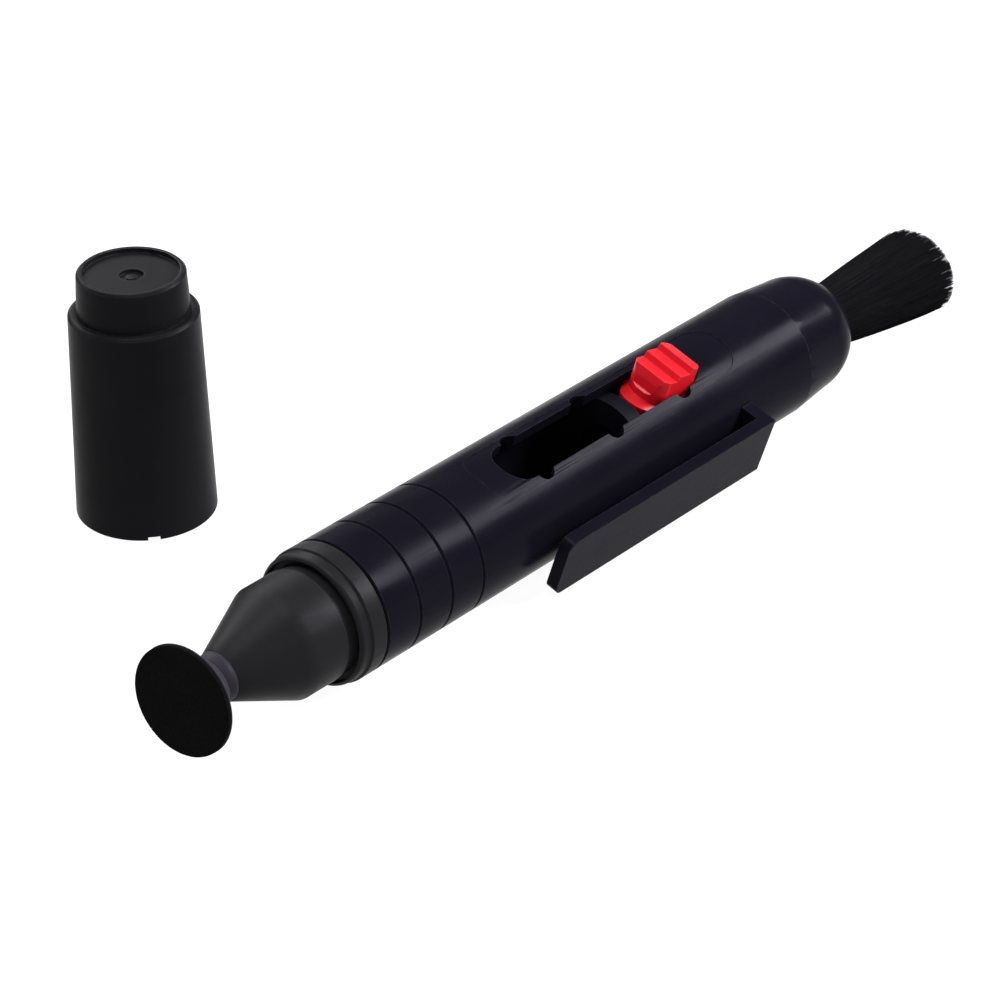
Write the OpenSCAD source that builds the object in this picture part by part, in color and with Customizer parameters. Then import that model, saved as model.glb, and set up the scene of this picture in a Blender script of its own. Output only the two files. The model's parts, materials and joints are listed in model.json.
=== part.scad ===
// Retractable lens cleaning pen with its cap off.
// The pen lies along X with the cleaning tip towards -X and the brush towards +X.
// The cap stands on its mouth beside the pen, and everything rests on z = 0.
// Stations along the pen are measured from the front face of the nose collar.

/* [Barrel] */
// Outside diameter of the barrel
barrel_d = 14.5; // [14.3:0.1:14.8]
// Bore that guides the brush carrier
barrel_bore_d = 11.8; // [11.7:0.05:11.9]
// Station where the barrel ends and the tail cone starts
barrel_end = 71.2; // [70.5:0.1:72]
// Distance from one decorative groove to the next
groove_pitch = 4.64; // [4.4:0.02:4.8]
// Turn of the pen about its own axis, which leans the slot from upright
pen_roll = 18.5; // [0:0.5:22]

/* [Nose] */
// Length of the nose collar
collar_len = 3.5; // [3.4:0.1:3.8]
// Diameter of the spigot that the cap slides over
spigot_d = 12.2; // [12:0.05:12.24]
// Length of the spigot in front of the collar
spigot_len = 4.9; // [4.5:0.1:5.2]
// Length of the cone in front of the spigot
cone_len = 7.5; // [7.3:0.1:7.7]
// Diameter of the cone where it meets the flexible neck
cone_tip_d = 5.4; // [5.3:0.1:5.8]

/* [Cleaning tip] */
// Diameter of the flared rubber cup behind the cleaning pad
tip_d = 11.5; // [10.8:0.1:11.6]
// Thinnest diameter of the rubber neck
neck_d = 4.7; // [4.4:0.1:4.8]
// Sideways lean of the cup at rest
tip_yaw = 6; // [0:0.5:8]
// Upward lean of the cup at rest
tip_pitch = 4.5; // [0:0.5:6]

/* [Slot and button] */
// Station of the front end of the button slot
slot_front = 25.6; // [25:0.1:26]
// Station of the rear end of the button slot
slot_rear = 56; // [56:0.1:57]
// Width of the button slot
slot_w = 5.3; // [5.3:0.1:5.6]
// Station of the rear pair of detent notches
detent_rear = 51.9; // [51.5:0.1:52.2]
// Distance from one pair of detent notches to the next
detent_pitch = 11; // [10.5:0.1:11]
// Width of the button
button_w = 4.8; // [4.4:0.1:4.9]
// Height of the button's ribs above the pen's axis
button_top = 8.8; // [8.6:0.05:9.2]

/* [Brush] */
// Station of the rear end of the tail cone
tail_end = 82.1; // [82:0.05:82.3]
// Diameter of the brush mouth
mouth_d = 7.4; // [7.2:0.1:7.5]
// Station of the brush's outermost tip
brush_end = 102.6; // [102:0.1:104]
// Widest diameter of the bristle tuft
tuft_d = 10.8; // [10:0.1:10.8]

/* [Pocket clip] */
// Station of the free end of the clip
clip_front = 26.9; // [26:0.1:28]
// Station of the rear end of the clip
clip_rear = 60.4; // [60:0.1:61]
// Width of the clip
clip_w = 7.2; // [6.5:0.1:7.5]
// Thickness of the clip
clip_t = 1.4; // [1.2:0.1:1.5]
// Distance from the pen's axis to the inner face of the clip
clip_inner = 8.5; // [8.3:0.1:8.8]

/* [Cap] */
// Outside diameter of the cap at its mouth
cap_mouth_d = 15; // [14.8:0.1:15.4]
// Outside diameter of the cap at its shoulder
cap_shoulder_d = 13.7; // [13.4:0.02:13.8]
// Height of the shoulder above the mouth
cap_shoulder_h = 23.5; // [23:0.1:24]
// Height of the whole cap
cap_h = 28; // [27.5:0.1:28.5]
// Bore of the cap, which slides over the spigot
cap_bore_d = 12.27; // [12.26:0.01:12.32]
// Distance from the pen's axis to the cap's axis
cap_gap = 37.3; // [30:0.1:50]
// Station of the cap's axis
cap_station = 13.5; // [0:0.1:40]

/* [Hidden] */
$fn = 96;
eps = 0.01;

barrel_r = barrel_d / 2;
bore_r = barrel_bore_d / 2;
spigot_r = spigot_d / 2;
slot_r = slot_w / 2;
tip_r = tip_d / 2;
neck_r = neck_d / 2;
tuft_r = tuft_d / 2;
mouth_r = mouth_d / 2;

// Barrel details
groove_half_w = 0.22;
groove_depth = 0.3;
neck_spigot_r = 6.65;
neck_spigot_len = 1.1;
panel_depth = 0.08;
panel_half_w = 3.5;
panel_front = slot_front - 3.2;
panel_rear = slot_rear + 5;
panel_corner = 2.6;
notch_r = 1.2;
notch_inset = 0.35;
detents = [for (i = [0:2]) detent_rear - i * detent_pitch];

// Tail cone: a straight taper, then an elliptical end
taper_end = 76.8;
taper_r = 6.7;
end_length = 6.57;
cavity_r = 5.8;
cavity_start = taper_end;
cavity_length = 5.6;
mouth_lip = 1;
plug_start = 66;
plug_wall_r = 5.1;

// Nose and tip
lip_r = 7;
lip_len = 1.3;
lip_round = 0.5;
recess_r = 6.55;
recess_len = 0.7;
relief_r = spigot_r - 0.2;
relief_front = -0.95;
flange_front = collar_len - neck_spigot_len - 1;
flange_rear = collar_len - neck_spigot_len;
shank_end = 13;
shank_bore_r = 4.6;
cone_end = -spigot_len - cone_len;
ball_r = 2.3;
socket_r = 2.35;
ball = [cone_end + 0.4, 0, 0];
cup_centre = [-17.5, -0.18, -0.19];
cup_depth = 3.3;
cup_aim = [0, 90 - tip_pitch, 180 + tip_yaw];
cup_forward = [-cos(tip_pitch) * cos(tip_yaw), -cos(tip_pitch) * sin(tip_yaw), sin(tip_pitch)];
cup_root = cup_centre - cup_depth * cup_forward;
neck_root_r = 1.8;
pad_r = tip_r - 0.2;
pad_t = 0.5;
pad_proud = 0.25;

// Button, spring and carrier
button_r = button_w / 2;
head_front = 47.85;
head_rear = 55;
head_corner = 1.4;
brow = 48.75;
rib_pitch = 2.22;
rib_depth = 0.6;
rib_run = 1.9;
ledge_z = 6.6;
base_front = 46.4;
base_rear = 57.4;
base_low = 4.6;
base_skirt_r = 3.2;
skirt_front = 49.2;
base_clear_r = bore_r - 0.15;
carrier_front = 44.2;
carrier_rear = 63.5;
carrier_r = bore_r - 0.06;
platform = 3.9;
spring_t = 0.15;
spring_half = 4.2;
spring_mid = 51.8;
ferrule_r = 3.3;
ferrule_bore_r = 2.9;
ferrule_front = 55.5;
ferrule_rear = 79;
tuft_root = 67;
tuft_dome = 2.3;

// Clip
clip_corner = 1;
bridge_len = 1.6;
clip_air = 0.12;

// Cap
cap_top_wall = 1;
core_hole_r = 5.83;
stub_r = 5.93;
stub_top_r = 5.7;
core_foot = 18.6;
core_seat_r = 5.9;
foam_r = 5.4;
foam_low = 19;
foam_high = 21.2;
rim_recess_r = 5.05;
rim_recess = 0.5;
dimple_r = 1.3;
dimple_depth = 0.4;
nub_r = 0.6;
notch_angle = 232;
notch_w = 1.3;
notch_h = 0.45;

// Frame: the origin is under the middle of the whole object's box
left = cup_centre[0] - pad_proud - pad_r * sin(acos(-cup_forward[0]));
clip_top_y = -(clip_inner + clip_t) * cos(pen_roll) - clip_w / 2 * sin(pen_roll);
pen_x = -(left + brush_end) / 2;
pen_y = -(clip_top_y + cap_gap + cap_mouth_d / 2) / 2;

module at_pen() {
    translate([pen_x, pen_y, barrel_r]) children();
}

// In the rolled pen, +Z points out through the slot and -Y out through the clip.
module in_pen() {
    at_pen() rotate([pen_roll, 0, 0]) children();
}

module at_cap() {
    translate([pen_x + cap_station, pen_y + cap_gap, 0]) children();
}

module rod_x(from, to, r) {
    translate([from, 0, 0]) rotate([0, 90, 0]) cylinder(h = to - from, r = r);
}

// Turns an outline of [radius, station] points about the pen's axis.
module turned(outline) {
    rotate([0, 90, 0]) rotate_extrude() polygon(outline);
}

module rod_between(from, to, r_from, r_to) {
    way = to - from;
    translate(from) rotate([0, acos(way[2] / norm(way)), atan2(way[1], way[0])])
        cylinder(h = norm(way), r1 = r_from, r2 = r_to);
}

module round_ended(from, to, half_w) {
    translate([from + half_w, -half_w]) square([to - from - 2 * half_w, 2 * half_w]);
    for (x = [from + half_w, to - half_w]) translate([x, 0]) circle(half_w);
}

module rounded_plan(from, to, half_w, corner) {
    translate([from + corner, -half_w]) square([to - from - 2 * corner, 2 * half_w]);
    translate([from, corner - half_w]) square([to - from, 2 * (half_w - corner)]);
    for (x = [from + corner, to - corner], side = [-1, 1])
        translate([x, side * (half_w - corner)]) circle(corner);
}

module barrel_blank() {
    rod_x(collar_len, barrel_end, barrel_r);
    rod_x(flange_rear, collar_len + eps, neck_spigot_r);
}

module groove(station) {
    turned([
        [barrel_r - groove_depth, station],
        [barrel_r + eps, station - groove_half_w],
        [barrel_r + eps, station + groove_half_w]
    ]);
}

module slot_plan() {
    round_ended(slot_front, slot_rear, slot_r);
    for (x = detents, side = [-1, 1])
        translate([x, side * (slot_r - notch_inset)]) circle(notch_r);
}

// A shallow dished panel around the slot
module panel_recess() {
    intersection() {
        linear_extrude(height = barrel_r + 1)
            rounded_plan(panel_front, panel_rear, panel_half_w, panel_corner);
        difference() {
            rod_x(panel_front, panel_rear, barrel_r + 1);
            rod_x(panel_front - 1, panel_rear + 1, barrel_r - panel_depth);
        }
    }
}

module barrel() {
    color("#16151c") in_pen() difference() {
        barrel_blank();
        rod_x(flange_rear - 1, barrel_end + 1, bore_r);
        for (i = [0:3]) groove(collar_len + i * groove_pitch);
        linear_extrude(height = barrel_r + 1) slot_plan();
        panel_recess();
    }
}

function oval(r, start, length, station) = r * sqrt(1 - pow((station - start) / length, 2));

module tail_cone() {
    outside = [for (i = [0:12]) let (s = taper_end + (tail_end - taper_end) * i / 12)
        [oval(taper_r, taper_end, end_length, s), s]];
    inside = [for (i = [0:10]) let (s = cavity_start + (tail_end - mouth_lip - cavity_start) * i / 10)
        [oval(cavity_r, cavity_start, cavity_length, s), s]];
    color("#16151c") in_pen() difference() {
        turned(concat([[0, plug_start], [bore_r, plug_start], [bore_r, barrel_end], [barrel_r, barrel_end]],
            outside, [[0, tail_end]]));
        turned(concat([[0, plug_start - 1], [plug_wall_r, plug_start - 1], [plug_wall_r, barrel_end]],
            inside, [[0, tail_end - mouth_lip]]));
        rod_x(tail_end - 2 * mouth_lip, tail_end + 1, mouth_r);
    }
}

// The clip is a flat tongue on a bridge that saddles the barrel.
module clip_plan() {
    half = clip_w / 2;
    translate([clip_front + clip_corner, -half]) square([clip_rear - clip_front - clip_corner, clip_w]);
    translate([clip_front, clip_corner - half]) square([2 * clip_corner, clip_w - 2 * clip_corner]);
    for (side = [-1, 1])
        translate([clip_front + clip_corner, side * (half - clip_corner)]) circle(clip_corner);
}

module pocket_clip() {
    color("#17161c") in_pen() difference() {
        union() {
            translate([0, -clip_inner, 0]) rotate([90, 0, 0]) linear_extrude(height = clip_t) clip_plan();
            translate([clip_rear - bridge_len, -clip_inner - eps, -clip_w / 2])
                cube([bridge_len, clip_inner - 5, clip_w]);
        }
        rod_x(clip_rear - 2 * bridge_len, clip_rear + 1, barrel_r + clip_air);
    }
}

module nose_collar() {
    fillet = [for (a = [0:15:90]) [lip_r - lip_round + lip_round * sin(a), lip_round - lip_round * cos(a)]];
    color("#232327") in_pen() difference() {
        turned(concat([[0, 0]], fillet, [
            [lip_r, lip_len],
            [barrel_r, lip_len + 0.15],
            [barrel_r, collar_len - groove_half_w],
            [barrel_r - groove_depth, collar_len],
            [0, collar_len]
        ]));
        rod_x(-1, recess_len, recess_r);
        rod_x(-1, collar_len + 1, relief_r);
        rod_x(flange_front, collar_len + 1, neck_spigot_r);
    }
}

// The round socket that the stem's ball snaps into, open at the cone's tip
function socket_outline() =
    let (mouth = acos((cone_end - ball[0]) / socket_r))
    concat([for (i = [0:12]) let (a = mouth * i / 12) [socket_r * sin(a), ball[0] + socket_r * cos(a)]],
        [[socket_r * sin(mouth), cone_end - 1], [0, cone_end - 1]]);

module nose_cone() {
    color("#28282b") in_pen() difference() {
        turned([
            [0, cone_end],
            [cone_tip_d / 2, cone_end],
            [spigot_r, -spigot_len],
            [spigot_r, relief_front],
            [relief_r, relief_front],
            [relief_r, flange_front],
            [neck_spigot_r, flange_front],
            [neck_spigot_r, flange_rear],
            [bore_r, flange_rear],
            [bore_r, shank_end],
            [0, shank_end]
        ]);
        turned([
            [0, cone_end + 3.4],
            [1.5, cone_end + 3.4],
            [shank_bore_r, -spigot_len + 1],
            [shank_bore_r, shank_end + 1],
            [0, shank_end + 1]
        ]);
        turned(socket_outline());
    }
}

// The rubber stem: a ball in the cone, a leaning neck and a trumpet that backs the pad
module tip_stem() {
    seat = pad_t - pad_proud;
    trumpet = [for (i = [0:10]) let (t = i / 10)
        [neck_r + (tip_r - neck_r) * pow(t, 1.55), (cup_depth - 0.35) * t]];
    color("#232027") at_pen() {
        translate(ball) sphere(ball_r);
        rod_between(ball, ball + 0.5 * (cup_root - ball), neck_root_r, neck_root_r);
        rod_between(ball + 0.45 * (cup_root - ball), cup_root - 0.1 * cup_forward, neck_root_r, neck_r - 0.03);
        translate(cup_root) rotate(cup_aim) difference() {
            rotate_extrude() polygon(concat([[0, -0.3], [neck_r, -0.3]], trumpet,
                [[tip_r, cup_depth], [0, cup_depth]]));
            translate([0, 0, cup_depth - seat]) cylinder(h = 1, r = pad_r);
        }
    }
}

module tip_pad() {
    color("#0b0b0c") at_pen() translate(cup_root) rotate(cup_aim)
        translate([0, 0, cup_depth - pad_t + pad_proud]) cylinder(h = pad_t, r = pad_r);
}

// Slides in the bore. Its flat platform holds the spring and the button's foot.
module brush_carrier() {
    color("#1b1b1f") in_pen() difference() {
        rod_x(carrier_front, carrier_rear, carrier_r);
        translate([base_front - 0.3, -bore_r, platform])
            cube([base_rear - base_front + 0.6, 2 * bore_r, bore_r]);
        rod_x(ferrule_front, carrier_rear + 1, ferrule_r);
        rod_x(carrier_front - 1, ferrule_front - 4, 2.9);
    }
}

module button_foot() {
    intersection() {
        translate([0, 0, base_low]) linear_extrude(height = 2) {
            round_ended(base_front, base_rear, button_r);
            rounded_plan(skirt_front, base_rear, base_skirt_r, 0.6);
        }
        rod_x(base_front - 1, base_rear + 1, base_clear_r);
    }
}

// Side view of the button's head as [station, height]: a ledge on a sloping brow, then three saw-tooth ribs
function head_outline() = concat(
    [[head_rear, base_low], [head_front, base_low], [head_front, ledge_z - 0.4],
        [head_front + 0.08, ledge_z], [brow - 0.55, ledge_z + 0.12], [brow - 0.35, button_top - 0.9]],
    [for (i = [0:2], edge = [0, 1]) let (tip = brow + i * rib_pitch)
        edge == 0 ? [tip, button_top] : [min(tip + rib_run, head_rear - 0.3), button_top - rib_depth]],
    [[head_rear, button_top - 1.2]]
);

// Round at the front, so that it clears the slot's round end
module head_plan() {
    translate([head_front + button_r, 0]) circle(button_r);
    rounded_plan(head_front + 0.45, head_rear, button_r, head_corner);
}

module button_head() {
    intersection() {
        translate([0, 0, base_low]) linear_extrude(height = 10) head_plan();
        translate([0, button_r, 0]) rotate([90, 0, 0])
            linear_extrude(height = button_w) polygon(head_outline());
    }
}

module slider_button() {
    color("#e0182c") in_pen() {
        button_foot();
        button_head();
    }
}

// A bowed steel leaf that holds the button out in its notches
module detent_spring() {
    rise = base_low - platform;
    bow_r = (pow(spring_half, 2) + pow(rise, 2)) / (2 * rise);
    color("silver") in_pen() intersection() {
        translate([spring_mid, 1.5, base_low - bow_r]) rotate([90, 0, 0]) difference() {
            cylinder(h = 3, r = bow_r);
            translate([0, 0, -1]) cylinder(h = 5, r = bow_r - spring_t);
        }
        translate([spring_mid - spring_half, -2, platform]) cube([2 * spring_half, 4, rise]);
    }
}

module brush_ferrule() {
    color("silver") in_pen() difference() {
        rod_x(ferrule_front, ferrule_rear, ferrule_r);
        rod_x(tuft_root, ferrule_rear + 1, ferrule_bore_r);
    }
}

// Closed outer shape of the bristles: they spread as they leave the ferrule
module bristle_tuft() {
    widest = brush_end - tuft_dome;
    spread = [for (i = [0:8]) let (t = i / 8)
        [ferrule_bore_r + (tuft_r - ferrule_bore_r) * pow(t, 0.8), ferrule_rear + (widest - ferrule_rear) * t]];
    dome = [for (a = [10:10:90]) [tuft_r * cos(a), widest + (brush_end - widest) * sin(a)]];
    color("#121214") in_pen()
        turned(concat([[0, tuft_root], [ferrule_bore_r, tuft_root]], spread, dome));
}

module cap_sleeve() {
    cap_r = cap_mouth_d / 2;
    shoulder_r = cap_shoulder_d / 2;
    edge = 0.3;
    color("#18181b") at_cap() difference() {
        rotate_extrude() polygon([
            [0, 0],
            [cap_r - 0.15, 0],
            [cap_r, 0.15],
            [shoulder_r, cap_shoulder_h - edge],
            [shoulder_r - edge, cap_shoulder_h],
            [0, cap_shoulder_h]
        ]);
        translate([0, 0, -1]) cylinder(h = core_foot + 1, r = cap_bore_d / 2);
        cylinder(h = cap_shoulder_h - cap_top_wall, r = core_seat_r);
        cylinder(h = cap_h, r = core_hole_r);
        rotate([0, 0, notch_angle]) translate([0, -notch_w / 2, -1]) cube([cap_r + 1, notch_w, notch_h + 1]);
    }
}

// Plug of the cap: a cup for the foam below and the stub that shows above
module cap_core() {
    seat = cap_shoulder_h - cap_top_wall;
    color("#19191b") at_cap() difference() {
        union() {
            translate([0, 0, core_foot]) cylinder(h = seat - core_foot, r = core_seat_r);
            rotate_extrude() polygon([
                [0, seat - eps],
                [core_hole_r, seat - eps],
                [core_hole_r, cap_shoulder_h + eps],
                [stub_r, cap_shoulder_h + eps],
                [stub_top_r, cap_h - 0.25],
                [stub_top_r - 0.25, cap_h],
                [0, cap_h]
            ]);
        }
        translate([0, 0, core_foot - 1]) cylinder(h = foam_high - core_foot + 1, r = foam_r);
        translate([0, 0, cap_h - rim_recess]) cylinder(h = 1, r = rim_recess_r);
        translate([0, 0, cap_h - rim_recess - dimple_depth]) difference() {
            cylinder(h = 1, r = dimple_r);
            translate([0, 0, -1]) cylinder(h = 1 + dimple_depth / 2, r = nub_r);
        }
    }
}

module cap_foam() {
    color("#141414") at_cap() translate([0, 0, foam_low]) cylinder(h = foam_high - foam_low, r = foam_r);
}

barrel();
tail_cone();
pocket_clip();
nose_collar();
nose_cone();
tip_stem();
tip_pad();
brush_carrier();
slider_button();
detent_spring();
brush_ferrule();
bristle_tuft();
cap_sleeve();
cap_core();
cap_foam();
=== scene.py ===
# Looks of the lens cleaning pen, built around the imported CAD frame.
# Units are metres, and MM turns millimetres into them.
import json
import math
import random

import bmesh
import bpy
from mathutils import Matrix, Vector, noise


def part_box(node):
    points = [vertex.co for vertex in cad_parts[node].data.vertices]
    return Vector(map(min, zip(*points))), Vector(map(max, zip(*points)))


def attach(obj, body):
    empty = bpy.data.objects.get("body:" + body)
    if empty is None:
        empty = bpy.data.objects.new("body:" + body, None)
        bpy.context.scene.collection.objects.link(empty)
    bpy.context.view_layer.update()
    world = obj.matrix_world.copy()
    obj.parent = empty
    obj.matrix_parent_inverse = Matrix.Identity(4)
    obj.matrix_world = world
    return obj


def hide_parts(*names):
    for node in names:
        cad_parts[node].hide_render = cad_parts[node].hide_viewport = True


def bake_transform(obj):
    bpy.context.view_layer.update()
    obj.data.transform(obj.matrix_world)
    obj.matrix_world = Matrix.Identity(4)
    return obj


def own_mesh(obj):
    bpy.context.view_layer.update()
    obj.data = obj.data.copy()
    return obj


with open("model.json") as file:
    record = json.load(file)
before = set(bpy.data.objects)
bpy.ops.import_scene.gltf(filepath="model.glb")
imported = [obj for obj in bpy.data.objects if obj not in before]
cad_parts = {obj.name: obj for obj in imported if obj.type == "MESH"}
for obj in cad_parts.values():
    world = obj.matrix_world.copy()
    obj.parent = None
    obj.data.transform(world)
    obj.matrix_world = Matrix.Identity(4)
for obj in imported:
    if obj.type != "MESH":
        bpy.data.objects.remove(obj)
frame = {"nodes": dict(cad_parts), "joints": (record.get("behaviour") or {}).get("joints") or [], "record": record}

MM = 0.001
NODES = frame["nodes"]
JOINTS = {joint["name"]: joint for joint in frame["joints"]}
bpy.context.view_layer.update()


# ---------- places taken from the frame ----------

def middle(node):
    low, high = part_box(node)
    return (low + high) / 2


pen_axis = middle("barrel")
slot_out = -Vector(JOINTS["button_press"]["axis"])
ball = Vector(JOINTS["tip_flex"]["pos_m"])
TIP_YAW = math.radians(6)
TIP_PITCH = math.radians(4.5)
tip_forward = Vector((
    -math.cos(TIP_PITCH) * math.cos(TIP_YAW),
    -math.cos(TIP_PITCH) * math.sin(TIP_YAW),
    math.sin(TIP_PITCH),
))


# ---------- camera ----------

CAMERA_LENS_MM = 131.1
CAMERA_SENSOR_MM = 36
CAMERA_AZIMUTH = math.radians(-48.388)
CAMERA_ELEVATION = math.radians(30.749)
CAMERA_ROLL = math.radians(0.696)
CAMERA_DISTANCE = 373.7 * MM
AIM_FROM_CENTRE = Vector((-12.69, -16.01, 7.25)) * MM


def make_camera():
    forward = Vector((
        -math.sin(CAMERA_AZIMUTH) * math.cos(CAMERA_ELEVATION),
        math.cos(CAMERA_AZIMUTH) * math.cos(CAMERA_ELEVATION),
        -math.sin(CAMERA_ELEVATION),
    ))
    right = Vector((math.cos(CAMERA_AZIMUTH), math.sin(CAMERA_AZIMUTH), 0))
    down = forward.cross(right)
    level_right = right * math.cos(CAMERA_ROLL) + down * math.sin(CAMERA_ROLL)
    level_down = down * math.cos(CAMERA_ROLL) - right * math.sin(CAMERA_ROLL)
    turn = Matrix((level_right, -level_down, -forward)).transposed().to_4x4()
    data = bpy.data.cameras.new("camera")
    data.lens = CAMERA_LENS_MM
    data.sensor_width = CAMERA_SENSOR_MM
    data.clip_start = 0.01
    camera = bpy.data.objects.new("camera", data)
    camera.matrix_world = Matrix.Translation(AIM_FROM_CENTRE - forward * CAMERA_DISTANCE) @ turn
    bpy.context.scene.collection.objects.link(camera)
    bpy.context.scene.camera = camera


# ---------- material building ----------

class Nodes:
    """A material's node tree with short calls for the nodes that repeat."""

    def __init__(self, name):
        self.material = bpy.data.materials.new(name)
        self.material.use_nodes = True
        self.tree = self.material.node_tree
        self.shader = self.tree.nodes["Principled BSDF"]
        coordinates = self.tree.nodes.new("ShaderNodeTexCoord")
        self.place = coordinates.outputs["Object"]

    def link(self, out, into):
        self.tree.links.new(out, into)

    def stretched(self, scale):
        """Object coordinates in millimetres, scaled along each axis."""
        mapping = self.tree.nodes.new("ShaderNodeMapping")
        mapping.inputs["Scale"].default_value = [1000 * s for s in scale]
        self.link(self.place, mapping.inputs["Vector"])
        return mapping.outputs["Vector"]

    def noise(self, scale, detail=4, roughness=0.55, stretch=(1, 1, 1)):
        node = self.tree.nodes.new("ShaderNodeTexNoise")
        node.inputs["Scale"].default_value = scale
        node.inputs["Detail"].default_value = detail
        node.inputs["Roughness"].default_value = roughness
        self.link(self.stretched(stretch), node.inputs["Vector"])
        return node.outputs["Fac"]

    def cells(self, scale, stretch=(1, 1, 1), feature="F1"):
        node = self.tree.nodes.new("ShaderNodeTexVoronoi")
        node.feature = feature
        node.inputs["Scale"].default_value = scale
        self.link(self.stretched(stretch), node.inputs["Vector"])
        return node.outputs["Distance"]

    def ranged(self, value, low, high, to_low, to_high):
        node = self.tree.nodes.new("ShaderNodeMapRange")
        node.inputs["From Min"].default_value = low
        node.inputs["From Max"].default_value = high
        node.inputs["To Min"].default_value = to_low
        node.inputs["To Max"].default_value = to_high
        self.link(value, node.inputs["Value"])
        return node.outputs["Result"]

    def maths(self, operation, first, second):
        node = self.tree.nodes.new("ShaderNodeMath")
        node.operation = operation
        for socket, value in zip(node.inputs, (first, second)):
            if isinstance(value, (int, float)):
                socket.default_value = value
            else:
                self.link(value, socket)
        return node.outputs["Value"]

    def mixed(self, factor, first, second):
        node = self.tree.nodes.new("ShaderNodeMix")
        node.data_type = "RGBA"
        self.link(factor, node.inputs["Factor"])
        for socket, value in ((node.inputs[6], first), (node.inputs[7], second)):
            if isinstance(value, tuple):
                socket.default_value = (*value, 1)
            else:
                self.link(value, socket)
        return node.outputs[2]

    def bump(self, height, distance_mm, strength=1.0, before=None):
        node = self.tree.nodes.new("ShaderNodeBump")
        node.inputs["Distance"].default_value = distance_mm * MM
        node.inputs["Strength"].default_value = strength
        self.link(height, node.inputs["Height"])
        if before is not None:
            self.link(before, node.inputs["Normal"])
        return node.outputs["Normal"]

    def worn_edges(self, radius_mm=0.22):
        """1 along edges, where a rounded normal leaves the surface's own, and 0 elsewhere."""
        rounded = self.tree.nodes.new("ShaderNodeBevel")
        rounded.samples = 4
        rounded.inputs["Radius"].default_value = radius_mm * MM
        surface = self.tree.nodes.new("ShaderNodeNewGeometry")
        agree = self.tree.nodes.new("ShaderNodeVectorMath")
        agree.operation = "DOT_PRODUCT"
        self.link(rounded.outputs["Normal"], agree.inputs[0])
        self.link(surface.outputs["Normal"], agree.inputs[1])
        return self.ranged(agree.outputs["Value"], 0.97, 0.9, 0, 1)

    def finish(self, colour, roughness, normal=None, **constants):
        for name, value in (("Base Color", colour), ("Roughness", roughness)):
            if isinstance(value, tuple):
                self.shader.inputs[name].default_value = (*value, 1)
            elif isinstance(value, (int, float)):
                self.shader.inputs[name].default_value = value
            else:
                self.link(value, self.shader.inputs[name])
        if normal is not None:
            self.link(normal, self.shader.inputs["Normal"])
        for name, value in constants.items():
            socket = self.shader.inputs[name.replace("_", " ")]
            socket.default_value = (*value, 1) if isinstance(value, tuple) else value
        return self.material


def moulded_black(name, base, light, rough, grain_mm, grain_depth_mm, gloss):
    """Moulded plastic with fine grain, handling smudges, hairline scratches and paler worn edges."""
    n = Nodes(name)
    smudge = n.noise(0.16, detail=3, stretch=(0.6, 1, 1))
    fine = n.noise(1 / grain_mm, detail=2, roughness=0.6)
    hairlines = n.ranged(n.noise(2.2, detail=2, stretch=(0.05, 1.6, 1.6)), 0.62, 0.7, 0, 1)
    specks = n.ranged(n.cells(1.1), 0.03, 0.06, 1, 0)
    worn = n.maths("MULTIPLY", n.worn_edges(), n.ranged(n.noise(1.3), 0.35, 0.65, 0.15, 1))
    tone = n.mixed(smudge, base, tuple(c * 1.5 for c in base))
    tone = n.mixed(n.maths("MULTIPLY", worn, 0.55), tone, light)
    tone = n.mixed(n.maths("MULTIPLY", specks, 0.25), tone, light)
    roughness = n.ranged(smudge, 0.3, 0.7, rough - 0.05, rough + 0.07)
    roughness = n.maths("ADD", roughness, n.maths("MULTIPLY", hairlines, 0.06))
    normal = n.bump(fine, grain_depth_mm)
    normal = n.bump(n.noise(0.45, detail=1), 0.012, before=normal)
    normal = n.bump(hairlines, 0.0015, before=normal)
    return n.finish(tone, roughness, normal, Specular_IOR_Level=gloss)


def red_plastic():
    n = Nodes("button_red")
    smudge = n.noise(0.5, detail=3)
    tone = n.mixed(smudge, (0.46, 0.006, 0.012), (0.4, 0.004, 0.009))
    tone = n.mixed(n.maths("MULTIPLY", n.worn_edges(), 0.3), tone, (0.75, 0.05, 0.06))
    normal = n.bump(n.noise(9, detail=2), 0.004)
    return n.finish(tone, n.ranged(smudge, 0.3, 0.7, 0.26, 0.4), normal,
                    Subsurface_Weight=0.1, Subsurface_Scale=0.5 * MM, Specular_IOR_Level=0.2)


def soft_rubber():
    n = Nodes("tip_rubber")
    cloud = n.noise(0.7)
    tone = n.mixed(cloud, (0.0065, 0.0052, 0.0095), (0.0105, 0.0085, 0.0145))
    dust = n.ranged(n.noise(6, detail=3), 0.62, 0.78, 0, 0.25)
    tone = n.mixed(dust, tone, (0.04, 0.037, 0.042))
    normal = n.bump(n.noise(14, detail=2), 0.006)
    return n.finish(tone, n.ranged(cloud, 0.3, 0.7, 0.55, 0.72), normal,
                    Specular_IOR_Level=0.12, Sheen_Weight=0.02, Sheen_Roughness=0.5)


def suede():
    n = Nodes("pad_suede")
    nap = n.noise(5, detail=5, roughness=0.7)
    patches = n.noise(0.5, detail=2)
    tone = n.mixed(patches, (0.0012, 0.0012, 0.0013), (0.0026, 0.0026, 0.0028))
    tone = n.mixed(n.ranged(nap, 0.56, 0.75, 0, 0.6), tone, (0.008, 0.008, 0.0084))
    normal = n.bump(nap, 0.05)
    normal = n.bump(n.cells(7), 0.02, before=normal)
    return n.finish(tone, 0.92, normal, Specular_IOR_Level=0.03)


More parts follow.
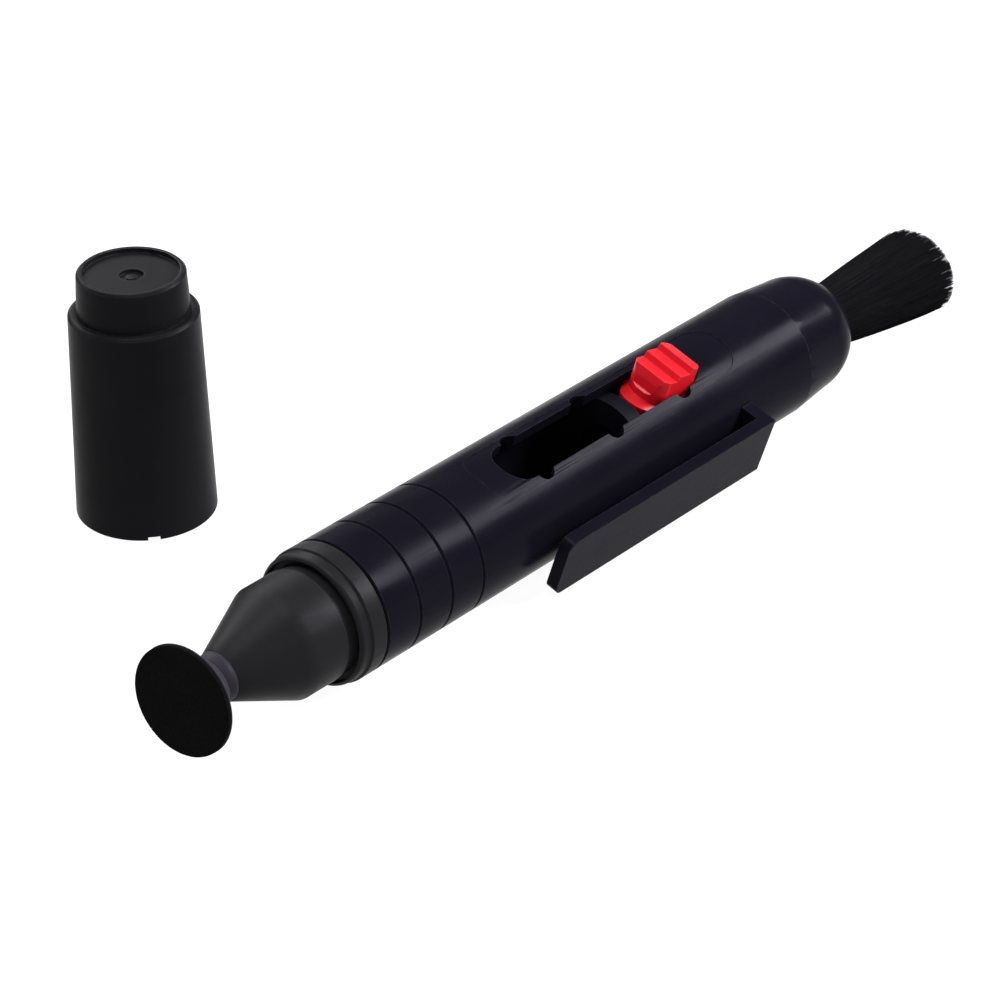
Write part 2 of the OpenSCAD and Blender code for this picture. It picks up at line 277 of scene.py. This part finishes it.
def carbon_foam():
    n = Nodes("foam_carbon")
    pores = n.cells(3.4)
    # The colour is darkest at the pore centres, where the bump sinks, and lighter on the rims between them:
    # painted shade in the pore hollows.
    tone = n.mixed(n.ranged(pores, 0.1, 0.5, 0, 1), (0.003, 0.003, 0.003), (0.02, 0.02, 0.021))
    return n.finish(tone, 0.95, n.bump(pores, 0.12), Specular_IOR_Level=0.1)


def metal(name, base, rough, stretch):
    n = Nodes(name)
    drawn = n.noise(3, detail=3, stretch=stretch)
    tone = n.mixed(drawn, base, tuple(c * 0.8 for c in base))
    roughness = n.ranged(drawn, 0.3, 0.7, rough - 0.06, rough + 0.08)
    return n.finish(tone, roughness, n.bump(drawn, 0.003), Metallic=1.0)


def hair():
    n = Nodes("bristle_black")
    strand = n.noise(4.5, detail=1, stretch=(0.03, 1, 1))
    along = n.noise(1.2, detail=2, stretch=(0.6, 1, 1))
    dark, light = (0.0009, 0.0008, 0.0012), (0.0036, 0.0034, 0.0046)
    tone = n.mixed(n.ranged(strand, 0.35, 0.65, 0, 1), dark, light)
    tone = n.mixed(n.ranged(along, 0.6, 0.75, 0, 0.4), tone, (0.008, 0.0076, 0.009))
    roughness = n.ranged(strand, 0.3, 0.7, 0.4, 0.62)
    return n.finish(tone, roughness, n.bump(strand, 0.01), Specular_IOR_Level=0.03)


def paint(materials):
    slots = {row["node"]: row["material_slot"] for row in frame["record"]["subparts"]}
    for name, node in NODES.items():
        node.data.materials.clear()
        node.data.materials.append(materials[slots[name]])


# ---------- finer edges on the CAD nodes ----------

def soften(node, width_mm, segments=3, angle=32):
    """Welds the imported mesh's seams and rounds its edges, as modifiers."""
    piece = NODES[node]
    weld = piece.modifiers.new("weld", "WELD")
    weld.merge_threshold = 0.0005 * MM
    bevel = piece.modifiers.new("bevel", "BEVEL")
    bevel.width = width_mm * MM
    bevel.segments = segments
    bevel.limit_method = "ANGLE"
    bevel.angle_limit = math.radians(angle)
    bevel.use_clamp_overlap = True
    normals = piece.modifiers.new("normals", "WEIGHTED_NORMAL")
    normals.keep_sharp = False


# ---------- mesh helpers ----------

def new_piece(name, shape, material, body=None):
    """Makes an object from a bmesh, smooth and painted. It rides on the body, if one is given."""
    mesh = bpy.data.meshes.new(name)
    shape.to_mesh(mesh)
    shape.free()
    for polygon in mesh.polygons:
        polygon.use_smooth = True
    mesh.materials.append(material)
    piece = bpy.data.objects.new(name, mesh)
    bpy.context.scene.collection.objects.link(piece)
    if body:
        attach(piece, body)
    return piece


def square_frame(forward):
    """Two directions at right angles to forward and to each other."""
    side = forward.cross(Vector((0, 0, 1))).normalized()
    return side, side.cross(forward).normalized()


def ring_at(shape, centre, forward, radius, around):
    if radius < 1e-9:
        return [shape.verts.new(centre)]
    side, up = square_frame(forward)
    turns = [2 * math.pi * i / around for i in range(around)]
    spokes = [side * math.cos(a) + up * math.sin(a) for a in turns]
    return [shape.verts.new(centre + spoke * radius) for spoke in spokes]


def join_rings(shape, near, far):
    around = max(len(near), len(far))
    for i in range(around):
        j = (i + 1) % around
        if len(near) == 1:
            shape.faces.new((near[0], far[j], far[i]))
        elif len(far) == 1:
            shape.faces.new((near[i], near[j], far[0]))
        else:
            shape.faces.new((near[i], near[j], far[j], far[i]))


def swept(rows, around):
    """Skins rings given as (centre, forward, radius), closed by a radius of 0 at both ends."""
    shape = bmesh.new()
    rings = [ring_at(shape, centre, forward, radius, around) for centre, forward, radius in rows]
    for near, far in zip(rings, rings[1:]):
        join_rings(shape, near, far)
    bmesh.ops.recalc_face_normals(shape, faces=shape.faces)
    return shape


# ---------- cleaning tip ----------

CUP_DEPTH = 3.9 * MM
CUP_RADIUS = 5.75 * MM
NECK_RADIUS = 2.66 * MM
PAD_RADIUS = 5.72 * MM
PAD_SEAT = 0.25 * MM
cup_centre = middle("tip_pad")
cup_root = cup_centre - tip_forward * CUP_DEPTH
cone_mouth = Vector((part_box("nose_cone")[0].x, ball.y, ball.z))


def bent_path(start, start_way, end, end_way, steps):
    """Points and directions on a cubic curve that leaves and arrives along the given ways."""
    reach = (end - start).length * 0.4
    a, b, c, d = start, start + start_way * reach, end - end_way * reach, end
    rows = []
    for i in range(steps + 1):
        t = i / steps
        u = 1 - t
        point = a * u**3 + b * 3 * u * u * t + c * 3 * u * t * t + d * t**3
        way = (b - a) * u * u + (c - b) * 2 * u * t + (d - c) * t * t
        rows.append((point, way.normalized()))
    return rows


def make_tip_stem(material):
    out = Vector((-1, 0, 0))
    plug = cone_mouth - out * 1.6 * MM
    rows = [(plug, out, 0)]
    for distance, radius in ((0, 1.7), (0.15, 2.0), (1.2, 2.15), (1.6, 2.2), (1.61, 2.5)):
        rows.append((plug + out * distance * MM, out, radius * MM))
    path = bent_path(cone_mouth + out * 0.02 * MM, out, cup_root, tip_forward, 14)
    for i, (point, way) in enumerate(path):
        t = i / (len(path) - 1)
        waist = 0.12 * math.sin(math.pi * t)
        rows.append((point, way, NECK_RADIUS - waist * MM))
    lip = 0.13 * MM
    seat = cup_centre - tip_forward * PAD_SEAT
    flare_length = CUP_DEPTH - PAD_SEAT - lip
    for i in range(1, 19):
        t = i / 18
        radius = NECK_RADIUS + (CUP_RADIUS - NECK_RADIUS) * t**1.15
        rows.append((cup_root + tip_forward * flare_length * t, tip_forward, radius))
    for turn in (30, 60, 90):
        bend = math.radians(turn)
        rows.append((seat - tip_forward * lip * (1 - math.sin(bend)), tip_forward,
                     CUP_RADIUS - lip + lip * math.cos(bend)))
    rows.append((seat, tip_forward, 0))
    piece = new_piece("tip_stem_rubber", swept(rows, 72), material)
    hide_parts("tip_stem")
    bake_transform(piece)


NAP_COARSE = 700
NAP_FINE = 2600


def rough_disc(centre, forward, radius, thickness, edge, rings, around, nap):
    """A disc with a rounded front edge and a front face roughened by up to nap."""
    back = centre - forward * thickness / 2
    front = centre + forward * thickness / 2
    rows = [
        (back, forward, 0),
        (back, forward, radius - edge / 2),
        (back + forward * edge / 2, forward, radius),
        (front - forward * edge, forward, radius),
    ]
    for turn in (30, 60):
        bend = math.radians(turn)
        rows.append((front - forward * edge * (1 - math.sin(bend)), forward,
                     radius - edge * (1 - math.cos(bend))))
    for i in range(rings):
        rows.append((front, forward, (radius - edge) * (1 - i / rings)))
    rows.append((front, forward, 0))
    shape = swept(rows, around)
    for vertex in shape.verts:
        if (vertex.co - front).dot(forward) > -edge * 0.6:
            coarse = noise.noise(vertex.co * NAP_COARSE)
            fine = noise.noise(vertex.co * NAP_FINE)
            vertex.co -= forward * nap * (0.5 + 0.3 * coarse + 0.5 * fine)
    return shape


def make_tip_pad(material):
    shape = rough_disc(cup_centre, tip_forward, PAD_RADIUS, thickness=0.5 * MM, edge=0.14 * MM,
                       rings=34, around=160, nap=0.035 * MM)
    piece = new_piece("tip_pad_suede", shape, material, "tip")
    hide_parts("tip_pad")


def make_foam(material):
    low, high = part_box("cap_foam")
    down = Vector((0, 0, -1))
    shape = rough_disc(middle("cap_foam"), down, (high.x - low.x) / 2, thickness=high.z - low.z,
                       edge=0.4 * MM, rings=40, around=150, nap=0.22 * MM)
    piece = new_piece("cap_foam_pad", shape, material, "cap")
    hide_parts("cap_foam")


# ---------- detent spring ----------

SPRING_THICKNESS = 0.15 * MM
SPRING_STEPS = 32


def make_spring(material):
    """A bowed steel leaf on the carrier."""
    side = slot_out.cross(Vector((1, 0, 0)))
    spots = [vertex.co - pen_axis for vertex in NODES["detent_spring"].data.vertices]
    heights = [spot.dot(slot_out) for spot in spots]
    foot = pen_axis + slot_out * min(heights)
    rise = max(heights) - min(heights) - SPRING_THICKNESS
    half_width = max(abs(spot.dot(side)) for spot in spots)
    low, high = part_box("detent_spring")
    half_length = (high.x - low.x) / 2
    shape = bmesh.new()
    sections = []
    for i in range(SPRING_STEPS + 1):
        t = 2 * i / SPRING_STEPS - 1
        centre = Vector(((low.x + high.x) / 2 + half_length * t, foot.y, foot.z))
        under = centre + slot_out * rise * (1 - t * t)
        over = under + slot_out * SPRING_THICKNESS
        corners = (under - side * half_width, under + side * half_width,
                   over + side * half_width, over - side * half_width)
        sections.append([shape.verts.new(corner) for corner in corners])
    for near, far in zip(sections, sections[1:]):
        join_rings(shape, near, far)
    shape.faces.new(sections[0])
    shape.faces.new(sections[-1])
    bmesh.ops.recalc_face_normals(shape, faces=shape.faces)
    piece = new_piece("spring_leaf", shape, material, "brush")
    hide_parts("detent_spring")
    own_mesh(piece)


# ---------- brush ----------

# The bristles stay SIDE_ROOM and END_ROOM inside the CAD tuft, which leans and ends on a slanted dome.
# STRAY_BOW is how far a stray one bows out, in shares of the tuft's radius per metre of its waviness.
STRANDS = 4600
STRAND_RADIUS = 0.055 * MM
STRAND_STEPS = 8
STRAY_SHARE = 0.02
STRAY_BOW = 900
TUFTS = 90
PACKED_RADIUS = 2.75 * MM
ROOT_LENGTH = 2 * MM
SIDE_ROOM = 0.15 * MM
END_ROOM = 0.3 * MM
LEAN = 1.05 * MM
DOME = 2.0 * MM
DOME_ROUNDNESS = 2.55
SLANT = 0.58 * MM
SPREAD_POWER = 0.75
TIP_TAPER = 0.55
lean_way = Vector((0, -0.08, -1)).normalized()


def tuft_rows():
    """One list of points for each bristle, packed in the ferrule and spreading out to a dome."""
    draw = random.Random(7)
    low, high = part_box("bristle_tuft")
    ferrule_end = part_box("brush_ferrule")[1].x
    widest = high.z - pen_axis.z - SIDE_ROOM
    spread_end = high.x - END_ROOM - DOME
    clumps = [(draw.random()**0.5, draw.uniform(0, 2 * math.pi)) for _ in range(TUFTS)]
    clumps = [Vector((0, r * math.cos(a), r * math.sin(a))) for r, a in clumps]
    for _ in range(STRANDS):
        share, angle = draw.random()**0.5, draw.uniform(0, 2 * math.pi)
        home = Vector((0, share * math.cos(angle), share * math.sin(angle)))
        clump = min(clumps, key=lambda c: (c - home).length)
        pull = draw.uniform(0.02, 0.16)
        wave = Vector((0, draw.gauss(0, 1), draw.gauss(0, 1))) * 0.07 * MM
        phase = draw.uniform(0, 2 * math.pi)
        stray = draw.random() < STRAY_SHARE
        end_x = spread_end + DOME * (1 - share**DOME_ROUNDNESS)**0.5 + SLANT * home.dot(lean_way)
        end_x -= abs(draw.gauss(0, 0.2)) * MM
        start_x = ferrule_end - ROOT_LENGTH
        points = []
        for i in range(STRAND_STEPS + 1):
            x = start_x + (end_x - start_x) * i / STRAND_STEPS
            t = max(0, (x - ferrule_end) / (spread_end - ferrule_end))
            spread = PACKED_RADIUS + (widest - PACKED_RADIUS) * min(t, 1)**SPREAD_POWER
            place = home + (clump - home) * pull * min(t, 1)**2
            if stray:
                place = place + wave * STRAY_BOW * t * t
            reach = place.length
            place = place * min(1, 1 / reach) if reach > 1 else place
            waver = wave * math.sin(4 * t + phase) * min(t, 1)
            offset = place * spread + waver + lean_way * LEAN * min(t, 1)
            points.append(Vector((x, pen_axis.y, pen_axis.z)) + offset)
        yield points


def make_bristles(material):
    shape = bmesh.new()
    for points in tuft_rows():
        rings = []
        for i, point in enumerate(points):
            way = (points[min(i + 1, len(points) - 1)] - points[max(i - 1, 0)]).normalized()
            taper = 1 - TIP_TAPER * (i / (len(points) - 1))**2
            rings.append(ring_at(shape, point, way, STRAND_RADIUS * taper, 3))
        tip = [shape.verts.new(points[-1] + (points[-1] - points[-2]).normalized() * STRAND_RADIUS)]
        for near, far in zip(rings, rings[1:] + [tip]):
            join_rings(shape, near, far)
        shape.faces.new(rings[0])
    bmesh.ops.recalc_face_normals(shape, faces=shape.faces)
    piece = new_piece("bristles", shape, material, "brush")
    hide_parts("bristle_tuft")
    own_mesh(piece)


# ---------- floor and light ----------

def make_floor():
    n = Nodes("floor_white")
    cloud = n.noise(0.004)
    tone = n.mixed(cloud, (0.12, 0.12, 0.12), (0.13, 0.13, 0.13))
    material = n.finish(tone, 0.9, Specular_IOR_Level=0.0, Emission_Color=(1.0, 1.0, 1.0),
                        Emission_Strength=0.95)
    half = 3.0
    corners = [(-half, -half, 0), (half, -half, 0), (half, half, 0), (-half, half, 0)]
    mesh = bpy.data.meshes.new("floor")
    mesh.from_pydata(corners, [], [(0, 1, 2, 3)])
    mesh.materials.append(material)
    floor = bpy.data.objects.new("floor", mesh)
    bpy.context.scene.collection.objects.link(floor)


def area_light(name, direction, distance, size, power, colour=(1, 1, 1)):
    data = bpy.data.lights.new(name, "AREA")
    data.shape = "RECTANGLE"
    data.size, data.size_y = size
    data.energy = power
    data.color = colour
    lamp = bpy.data.objects.new(name, data)
    way = Vector(direction).normalized()
    lamp.location = way * distance
    lamp.rotation_euler = way.to_track_quat("Z", "Y").to_euler()
    bpy.context.scene.collection.objects.link(lamp)


def make_light():
    scene = bpy.context.scene
    scene.view_settings.view_transform = "Standard"
    world = bpy.data.worlds.new("studio")
    world.use_nodes = True
    background = world.node_tree.nodes["Background"]
    background.inputs["Color"].default_value = (0.92, 0.93, 1.0, 1)
    background.inputs["Strength"].default_value = 0.22
    scene.world = world
    area_light("key", (0.643, -0.529, 0.542), 0.8, (0.42, 0.22), 14, (0.92, 0.91, 1.0))
    area_light("back", (0.1, 0.85, 0.62), 0.9, (0.9, 0.5), 12)
    area_light("overhead", (-0.12, 0.0, 1), 1.2, (0.6, 0.6), 14)
    area_light("fill", (-0.64, -0.57, 0.3), 0.9, (0.5, 0.5), 2.5)


# ---------- build ----------

materials = {
    "barrel_plastic": moulded_black("barrel_plastic", (0.003, 0.0027, 0.0048), (0.024, 0.023, 0.03),
                                    0.24, 0.16, 0.0012, 0.015),
    "nose_plastic": moulded_black("nose_plastic", (0.0065, 0.0065, 0.0071), (0.035, 0.035, 0.037),
                                  0.42, 0.12, 0.004, 0.04),
    "inner_plastic": moulded_black("inner_plastic", (0.003, 0.003, 0.0045), (0.015, 0.015, 0.018),
                                   0.5, 0.14, 0.003, 0.03),
    "cap_plastic": moulded_black("cap_plastic", (0.0046, 0.0046, 0.0052), (0.06, 0.06, 0.063),
                                 0.34, 0.15, 0.0015, 0.02),
    "button_red": red_plastic(),
    "tip_rubber": soft_rubber(),
    "pad_suede": suede(),
    "foam_carbon": carbon_foam(),
    "spring_steel": metal("spring_steel", (0.55, 0.55, 0.56), 0.25, (0.2, 3, 3)),
    "ferrule_metal": metal("ferrule_metal", (0.62, 0.62, 0.64), 0.32, (3, 0.4, 0.4)),
    "bristle_black": hair(),
}
EDGE_MM = {
    "barrel": 0.06,
    "tail_cone": 0.12,
    "pocket_clip": 0.25,
    "nose_collar": 0.08,
    "nose_cone": 0.12,
    "brush_carrier": 0.1,
    "slider_button": 0.16,
    "cap_sleeve": 0.12,
    "cap_core": 0.12,
}

make_camera()
paint(materials)
for node, width in EDGE_MM.items():
    soften(node, width)
make_tip_stem(materials["tip_rubber"])
make_tip_pad(materials["pad_suede"])
make_foam(materials["foam_carbon"])
make_spring(materials["spring_steel"])
make_bristles(materials["bristle_black"])
make_floor()
make_light()
